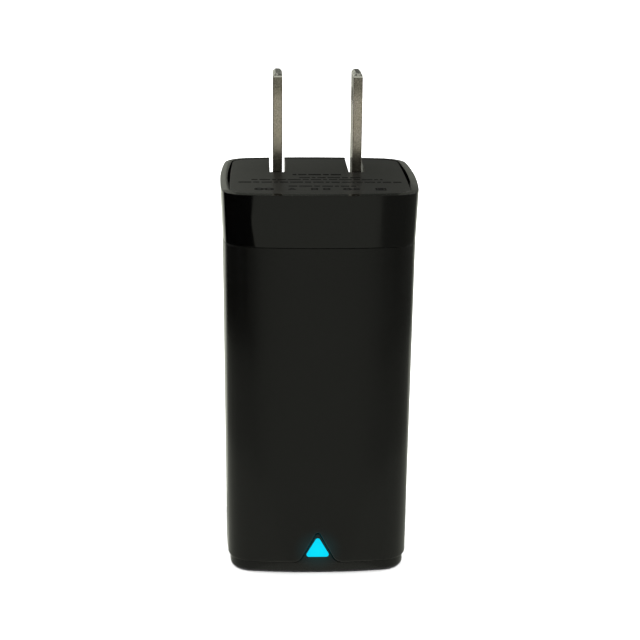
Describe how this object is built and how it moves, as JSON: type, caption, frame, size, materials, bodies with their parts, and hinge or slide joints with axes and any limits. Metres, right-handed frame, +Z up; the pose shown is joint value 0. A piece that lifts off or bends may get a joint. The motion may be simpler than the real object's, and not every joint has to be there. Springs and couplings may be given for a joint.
{
  "type": "usb wall charger",
  "caption": "Upright black plug-in power adapter with folding flat mains blades on its end, a gloss collar, a lit triangular status lens and an output socket.",
  "frame": {"origin": "centre of the flat underside of the output end cap, which is the lowest face", "axes": "+Z up through the body to the mains blades, -Y out of the front face with the status lens, +Y out of the back with the blade channels"},
  "size_m": [0.0308, 0.0302, 0.0781],
  "materials": {
    "sleeve_satin": "satin moulded black plastic",
    "collar_gloss": "polished black plastic",
    "plate_satin": "fine satin black plastic",
    "cap_satin": "satin moulded black plastic",
    "lens_cyan": "lit cyan light guide",
    "cradle_black": "moulded black plastic",
    "carrier_black": "hard moulded black plastic",
    "blade_nickel": "satin nickel plate over brass",
    "contact_bronze": "phosphor bronze strip",
    "spring_steel": "bright spring strip",
    "port_steel": "nickel-plated pressed shell",
    "port_insert": "heat-resistant black moulding",
    "port_gold": "gold-flashed spring contacts",
    "board_green": "glass-fibre board with green resist",
    "ferrite": "pressed ferrite",
    "bobbin_black": "phenolic moulding",
    "copper_wire": "enamelled copper winding",
    "tape_yellow": "polyester winding tape",
    "tinned_pins": "tinned pins",
    "can_sleeve": "shrink sleeve over an aluminium can",
    "disc_blue": "dipped ceramic disc",
    "resistor_body": "lacquered body",
    "chip_black": "moulded epoxy",
    "led_body": "clear epoxy body",
    "spreader_aluminium": "bare sheet",
    "wire_black": "insulated wire",
    "sheet_amber": "insulating film"
  },
  "bodies": {
    "charger": {"main_sleeve": "sleeve_satin", "mains_collar": "collar_gloss", "collar_rear_segment": "collar_gloss", "end_plate": "plate_satin", "end_cap": "cap_satin", "led_lens": "lens_cyan", "plug_cradle": "cradle_black", "contact_left": "contact_bronze", "contact_right": "contact_bronze", "detent_spring": "spring_steel", "usb_shell": "port_steel", "usb_tongue": "port_insert", "usb_contacts": "port_gold", "circuit_board": "board_green", "transformer_core_lower": "ferrite", "transformer_core_upper": "ferrite", "transformer_bobbin": "bobbin_black", "transformer_winding": "copper_wire", "transformer_tape": "tape_yellow", "transformer_pins": "tinned_pins", "bulk_capacitor_left": "can_sleeve", "bulk_capacitor_right": "can_sleeve", "output_capacitor": "can_sleeve", "safety_capacitor": "disc_blue", "choke_core": "ferrite", "choke_winding": "copper_wire", "fuse_resistor": "resistor_body", "bridge_rectifier": "chip_black", "controller_chip": "chip_black", "output_rectifier": "chip_black", "status_led": "led_body", "heat_spreader": "spreader_aluminium", "wire_left": "wire_black", "wire_right": "wire_black", "barrier_sheet": "sheet_amber"},
    "plug": {"plug_carrier": "carrier_black", "blade_left": "blade_nickel", "blade_right": "blade_nickel"}
  },
  "joints": [
    {"name": "blade_fold", "type": "hinge", "parent": "charger", "child": "plug", "pos_m": [0, 0.00867, 0.0566], "axis": [-1, 0, 0], "range_deg": [0, 180]}
  ]
}
